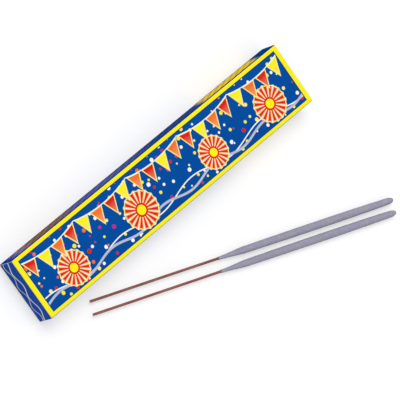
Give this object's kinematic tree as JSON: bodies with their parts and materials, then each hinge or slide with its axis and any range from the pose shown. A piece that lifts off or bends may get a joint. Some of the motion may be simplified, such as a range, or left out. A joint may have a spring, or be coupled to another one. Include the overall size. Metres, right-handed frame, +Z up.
{
  "type": "sparkler pack",
  "caption": "Folding tuck-end carton of hand-held sparklers, with loose sparklers of coated wire beside it; end panels, tongues and dust flaps swing open.",
  "frame": {"origin": "middle of the carton's underside, on the surface that the carton and the loose sparklers lie on", "axes": "+X along the carton from the near end to the far end, +Y across it, +Z up out of the carton's front panel"},
  "size_m": [0.1316, 0.0719, 0.009],
  "materials": {
    "carton_board": "satin",
    "adhesive": "satin",
    "copper_wire": "satin",
    "burning_coat": "matte"
  },
  "bodies": {
    "carton": {"carton_sleeve": "carton_board", "seam_glue": "adhesive"},
    "near_panel": {"near_end_panel": "carton_board"},
    "near_tongue": {"near_tuck_tongue": "carton_board"},
    "near_dust_left": {"near_dust_flap_left": "carton_board"},
    "near_dust_right": {"near_dust_flap_right": "carton_board"},
    "far_panel": {"far_end_panel": "carton_board"},
    "far_tongue": {"far_tuck_tongue": "carton_board"},
    "far_dust_left": {"far_dust_flap_left": "carton_board"},
    "far_dust_right": {"far_dust_flap_right": "carton_board"},
    "packed_sparkler_1": {"packed_sparkler_1_wire": "copper_wire", "packed_sparkler_1_coat": "burning_coat"},
    "packed_sparkler_2": {"packed_sparkler_2_wire": "copper_wire", "packed_sparkler_2_coat": "burning_coat"},
    "packed_sparkler_3": {"packed_sparkler_3_wire": "copper_wire", "packed_sparkler_3_coat": "burning_coat"},
    "packed_sparkler_4": {"packed_sparkler_4_wire": "copper_wire", "packed_sparkler_4_coat": "burning_coat"},
    "packed_sparkler_5": {"packed_sparkler_5_wire": "copper_wire", "packed_sparkler_5_coat": "burning_coat"},
    "packed_sparkler_6": {"packed_sparkler_6_wire": "copper_wire", "packed_sparkler_6_coat": "burning_coat"},
    "packed_sparkler_7": {"packed_sparkler_7_wire": "copper_wire", "packed_sparkler_7_coat": "burning_coat"},
    "packed_sparkler_8": {"packed_sparkler_8_wire": "copper_wire", "packed_sparkler_8_coat": "burning_coat"},
    "loose_sparkler_1": {"loose_sparkler_1_wire": "copper_wire", "loose_sparkler_1_coat": "burning_coat"},
    "loose_sparkler_2": {"loose_sparkler_2_wire": "copper_wire", "loose_sparkler_2_coat": "burning_coat"}
  },
  "joints": [
    {"name": "near_panel_hinge", "type": "hinge", "parent": "carton", "child": "near_panel", "pos_m": [-0.06175, 0, 0.0088], "axis": [0, 1, 0], "range_deg": [0, 130]},
    {"name": "near_tongue_crease", "type": "hinge", "parent": "near_panel", "child": "near_tongue", "pos_m": [-0.06155, 0, 0.00129], "axis": [0, -1, 0], "range_deg": [0, 65]},
    {"name": "near_dust_left_crease", "type": "hinge", "parent": "carton", "child": "near_dust_left", "pos_m": [-0.0612, 0.01055, 0.0045], "axis": [0, 0, -1], "range_deg": [0, 91]},
    {"name": "near_dust_right_crease", "type": "hinge", "parent": "carton", "child": "near_dust_right", "pos_m": [-0.0612, -0.01055, 0.0045], "axis": [0, 0, 1], "range_deg": [0, 91]},
    {"name": "far_panel_hinge", "type": "hinge", "parent": "carton", "child": "far_panel", "pos_m": [0.06175, 0, 0.0002], "axis": [0, 1, 0], "range_deg": [0, 90]},
    {"name": "far_tongue_crease", "type": "hinge", "parent": "far_panel", "child": "far_tongue", "pos_m": [0.06155, 0, 0.00771], "axis": [0, -1, 0], "range_deg": [0, 45]},
    {"name": "far_dust_left_crease", "type": "hinge", "parent": "carton", "child": "far_dust_left", "pos_m": [0.0612, 0.01055, 0.0045], "axis": [0, 0, 1], "range_deg": [0, 63]},
    {"name": "far_dust_right_crease", "type": "hinge", "parent": "carton", "child": "far_dust_right", "pos_m": [0.0612, -0.01055, 0.0045], "axis": [0, 0, -1], "range_deg": [0, 63]},
    {"name": "packed_sparkler_1_slide", "type": "slide", "parent": "carton", "child": "packed_sparkler_1", "axis": [1, 0, 0], "range_m": [-0.0008, 0.0008]},
    {"name": "packed_sparkler_2_slide", "type": "slide", "parent": "carton", "child": "packed_sparkler_2", "axis": [1, 0, 0], "range_m": [-0.0008, 0.0008]},
    {"name": "packed_sparkler_3_slide", "type": "slide", "parent": "carton", "child": "packed_sparkler_3", "axis": [1, 0, 0], "range_m": [-0.0008, 0.0008]},
    {"name": "packed_sparkler_4_slide", "type": "slide", "parent": "carton", "child": "packed_sparkler_4", "axis": [1, 0, 0], "range_m": [-0.0008, 0.0008]},
    {"name": "packed_sparkler_5_slide", "type": "slide", "parent": "carton", "child": "packed_sparkler_5", "axis": [1, 0, 0], "range_m": [-0.0008, 0.0008]},
    {"name": "packed_sparkler_6_slide", "type": "slide", "parent": "carton", "child": "packed_sparkler_6", "axis": [1, 0, 0], "range_m": [-0.0008, 0.0008]},
    {"name": "packed_sparkler_7_slide", "type": "slide", "parent": "carton", "child": "packed_sparkler_7", "axis": [1, 0, 0], "range_m": [-0.0008, 0.0008]},
    {"name": "packed_sparkler_8_slide", "type": "slide", "parent": "carton", "child": "packed_sparkler_8", "axis": [1, 0, 0], "range_m": [-0.0008, 0.0008]},
    {"name": "loose_sparkler_1_lift", "type": "slide", "parent": "carton", "child": "loose_sparkler_1", "axis": [0, 0, 1], "range_m": [0, 0.06]},
    {"name": "loose_sparkler_2_lift", "type": "slide", "parent": "carton", "child": "loose_sparkler_2", "axis": [0, 0, 1], "range_m": [0, 0.06]}
  ],
  "couplings": [
    {"joint": "near_tongue_crease", "follows": "near_panel_hinge", "ratio": 0.5},
    {"joint": "near_dust_left_crease", "follows": "near_panel_hinge", "ratio": 0.7},
    {"joint": "near_dust_right_crease", "follows": "near_panel_hinge", "ratio": 0.7},
    {"joint": "far_tongue_crease", "follows": "far_panel_hinge", "ratio": 0.5},
    {"joint": "far_dust_left_crease", "follows": "far_panel_hinge", "ratio": 0.7},
    {"joint": "far_dust_right_crease", "follows": "far_panel_hinge", "ratio": 0.7}
  ]
}
